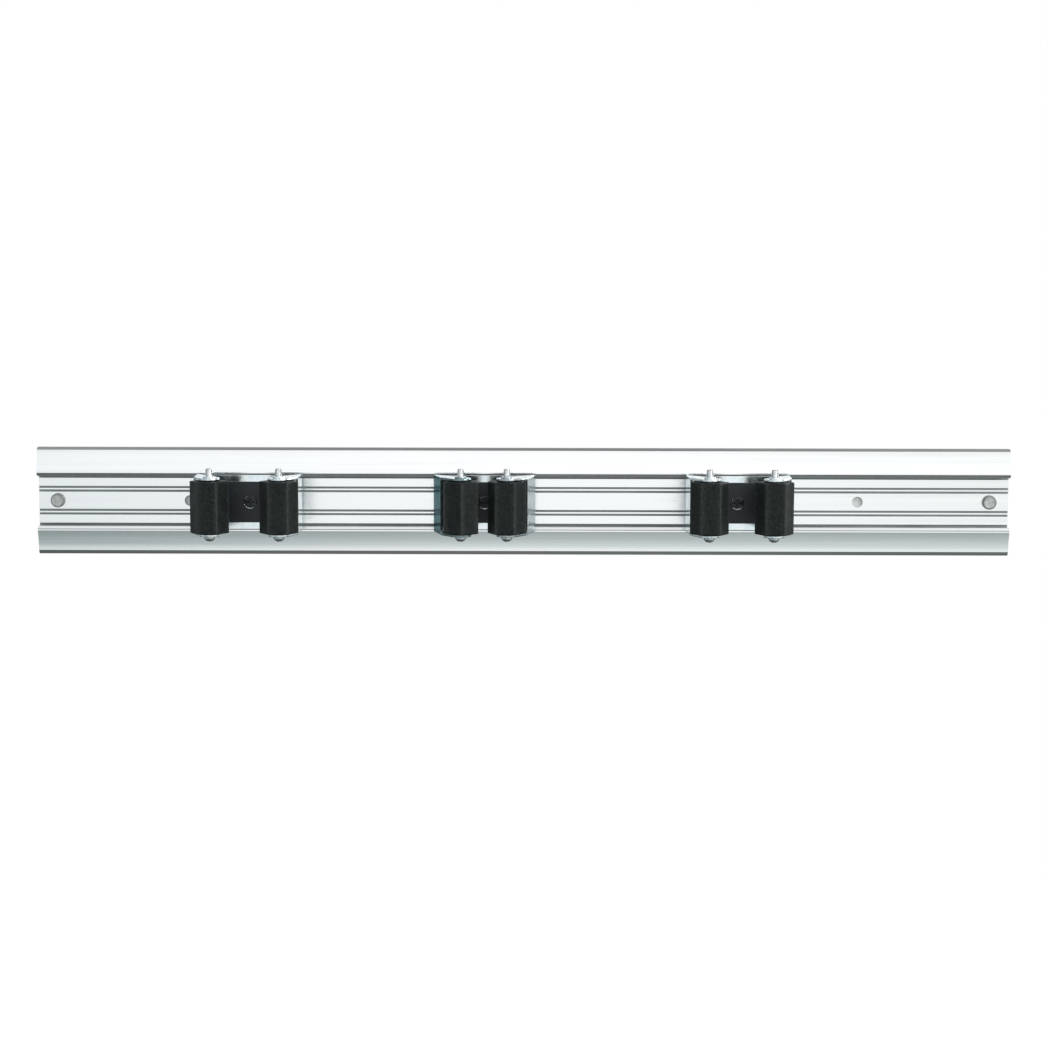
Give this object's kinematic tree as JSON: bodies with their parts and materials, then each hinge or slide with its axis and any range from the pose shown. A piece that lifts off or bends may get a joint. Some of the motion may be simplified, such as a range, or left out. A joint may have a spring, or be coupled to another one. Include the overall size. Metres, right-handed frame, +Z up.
{
  "type": "wall mop holder rack",
  "caption": "Extruded aluminium wall rail with sliding spring-steel clips whose paired rubber rollers grip upright mop and broom handles.",
  "frame": {"origin": "middle of the rail's back face, where it lies on the wall", "axes": "+X along the rail to the viewer's right, +Y into the wall, +Z up"},
  "size_m": [0.5, 0.0434, 0.055],
  "materials": {
    "rail_aluminium": "satin anodised, drawn lengthwise",
    "clip_steel": "bright blue zinc plate",
    "screw_steel": "bright zinc plate",
    "roller_rubber": "matte moulded",
    "slider_plastic": "fine grained",
    "stop_plastic": "satin"
  },
  "bodies": {
    "rail": {"rail": "rail_aluminium", "end_stop_left": "stop_plastic", "end_stop_right": "stop_plastic"},
    "left_holder": {"left_slider": "slider_plastic", "left_back_plate": "clip_steel", "left_fixing_screw": "screw_steel"},
    "left_arm_l": {"left_arm_l": "clip_steel", "left_pivot_screw_l": "screw_steel"},
    "left_roller_l": {"left_roller_l": "roller_rubber"},
    "left_arm_r": {"left_arm_r": "clip_steel", "left_pivot_screw_r": "screw_steel"},
    "left_roller_r": {"left_roller_r": "roller_rubber"},
    "middle_holder": {"middle_slider": "slider_plastic", "middle_back_plate": "clip_steel", "middle_fixing_screw": "screw_steel"},
    "middle_arm_l": {"middle_arm_l": "clip_steel", "middle_pivot_screw_l": "screw_steel"},
    "middle_roller_l": {"middle_roller_l": "roller_rubber"},
    "middle_arm_r": {"middle_arm_r": "clip_steel", "middle_pivot_screw_r": "screw_steel"},
    "middle_roller_r": {"middle_roller_r": "roller_rubber"},
    "right_holder": {"right_slider": "slider_plastic", "right_back_plate": "clip_steel", "right_fixing_screw": "screw_steel"},
    "right_arm_l": {"right_arm_l": "clip_steel", "right_pivot_screw_l": "screw_steel"},
    "right_roller_l": {"right_roller_l": "roller_rubber"},
    "right_arm_r": {"right_arm_r": "clip_steel", "right_pivot_screw_r": "screw_steel"},
    "right_roller_r": {"right_roller_r": "roller_rubber"}
  },
  "joints": [
    {"name": "left_holder_slide", "type": "slide", "parent": "rail", "child": "left_holder", "axis": [1, 0, 0], "range_m": [-0.0791, 0.058]},
    {"name": "left_arm_l_flex", "type": "hinge", "parent": "left_holder", "child": "left_arm_l", "pos_m": [-0.15985, -0.0088, 0], "axis": [0, 0, -1], "range_deg": [-13.4, 4.6], "stiffness_Nm_per_rad": 1},
    {"name": "left_roller_l_spin", "type": "hinge", "parent": "left_arm_l", "child": "left_roller_l", "pos_m": [-0.15756, -0.03412, 0], "axis": [0, 0, 1], "continuous": true},
    {"name": "left_arm_r_flex", "type": "hinge", "parent": "left_holder", "child": "left_arm_r", "pos_m": [-0.12045, -0.0088, 0], "axis": [0, 0, 1], "range_deg": [-13.4, 4.6], "stiffness_Nm_per_rad": 1},
    {"name": "left_roller_r_spin", "type": "hinge", "parent": "left_arm_r", "child": "left_roller_r", "pos_m": [-0.12274, -0.03412, 0], "axis": [0, 0, 1], "continuous": true},
    {"name": "middle_holder_slide", "type": "slide", "parent": "rail", "child": "middle_holder", "axis": [1, 0, 0], "range_m": [-0.058, 0.068]},
    {"name": "middle_arm_l_flex", "type": "hinge", "parent": "middle_holder", "child": "middle_arm_l", "pos_m": [-0.0397, -0.0088, 0], "axis": [0, 0, -1], "range_deg": [0, 18], "stiffness_Nm_per_rad": 1},
    {"name": "middle_roller_l_spin", "type": "hinge", "parent": "middle_arm_l", "child": "middle_roller_l", "pos_m": [-0.0316, -0.0329, 0], "axis": [0, 0, 1], "continuous": true},
    {"name": "middle_arm_r_flex", "type": "hinge", "parent": "middle_holder", "child": "middle_arm_r", "pos_m": [-0.0003, -0.0088, 0], "axis": [0, 0, 1], "range_deg": [0, 18], "stiffness_Nm_per_rad": 1},
    {"name": "middle_roller_r_spin", "type": "hinge", "parent": "middle_arm_r", "child": "middle_roller_r", "pos_m": [-0.0084, -0.0329, 0], "axis": [0, 0, 1], "continuous": true},
    {"name": "right_holder_slide", "type": "slide", "parent": "rail", "child": "right_holder", "axis": [1, 0, 0], "range_m": [-0.068, 0.1097]},
    {"name": "right_arm_l_flex", "type": "hinge", "parent": "right_holder", "child": "right_arm_l", "pos_m": [0.0898, -0.0088, 0], "axis": [0, 0, -1], "range_deg": [-10.8, 7.2], "stiffness_Nm_per_rad": 1},
    {"name": "right_roller_l_spin", "type": "hinge", "parent": "right_arm_l", "child": "right_roller_l", "pos_m": [0.09324, -0.03399, 0], "axis": [0, 0, 1], "continuous": true},
    {"name": "right_arm_r_flex", "type": "hinge", "parent": "right_holder", "child": "right_arm_r", "pos_m": [0.1292, -0.0088, 0], "axis": [0, 0, 1], "range_deg": [-10.8, 7.2], "stiffness_Nm_per_rad": 1},
    {"name": "right_roller_r_spin", "type": "hinge", "parent": "right_arm_r", "child": "right_roller_r", "pos_m": [0.12576, -0.03399, 0], "axis": [0, 0, 1], "continuous": true}
  ]
}
